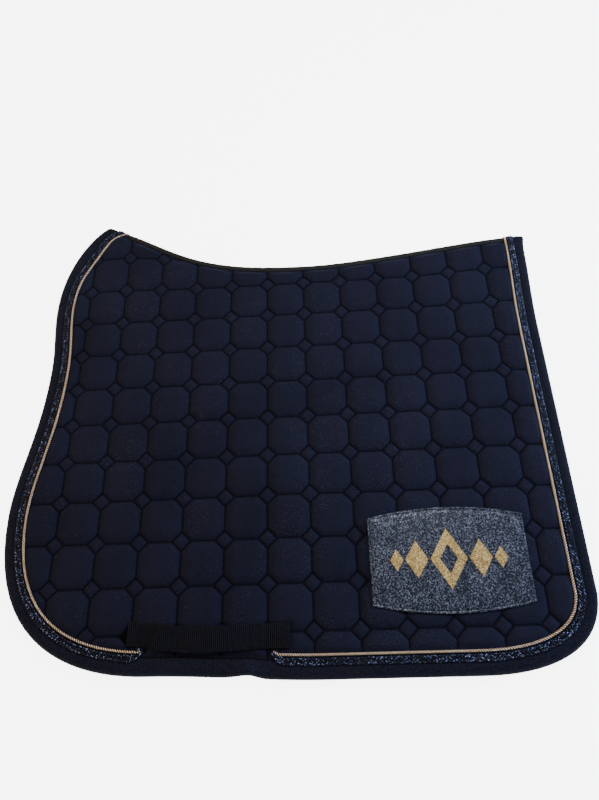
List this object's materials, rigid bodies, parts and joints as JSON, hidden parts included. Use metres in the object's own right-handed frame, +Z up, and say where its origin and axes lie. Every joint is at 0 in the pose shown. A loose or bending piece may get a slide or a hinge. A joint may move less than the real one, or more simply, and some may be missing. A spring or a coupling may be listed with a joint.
{
  "type": "saddle pad",
  "caption": "Dressage saddle pad with octagon quilting, bound and corded edges, girth loops and a glitter patch, folded in half along its spine.",
  "frame": {"origin": "centre of the folded pad's bounding box, on the surface that it lies on", "axes": "+X towards the rear of the horse, +Y towards the spine, +Z up, out of the near flap's outer face"},
  "size_m": [0.678, 0.623, 0.0276],
  "materials": {
    "cover": "matte navy brushed knit, quilted",
    "wadding": "off-white polyester wadding",
    "lining": "dark navy absorbent knit",
    "binding": "smooth charcoal navy satin binding",
    "braid": "navy plaited braid with silver-blue metallic thread",
    "cord": "twisted champagne gold cord",
    "webbing": "black ribbed webbing",
    "patch": "slate blue glitter fabric",
    "lozenges": "gold glitter fabric"
  },
  "bodies": {
    "far_flap": {"far_cover": "cover", "far_wadding": "wadding", "far_lining": "lining", "far_binding": "binding", "far_front_braid": "braid", "far_rear_braid": "braid", "far_front_cord": "cord", "far_rear_cord": "cord", "far_girth_loop": "webbing", "yoke_cover": "cover", "yoke_wadding": "wadding", "yoke_lining": "lining", "spine_tape": "binding"},
    "near_flap": {"near_cover": "cover", "near_wadding": "wadding", "near_lining": "lining", "near_binding": "binding", "near_front_braid": "braid", "near_rear_braid": "braid", "near_front_cord": "cord", "near_rear_cord": "cord", "near_girth_loop": "webbing", "patch": "patch", "patch_lozenges": "lozenges"}
  },
  "joints": [
    {"name": "spine_fold", "type": "hinge", "parent": "far_flap", "child": "near_flap", "pos_m": [0, 0.2055, 0.0198], "axis": [-1, 0, 0], "range_deg": [0, 150]}
  ]
}
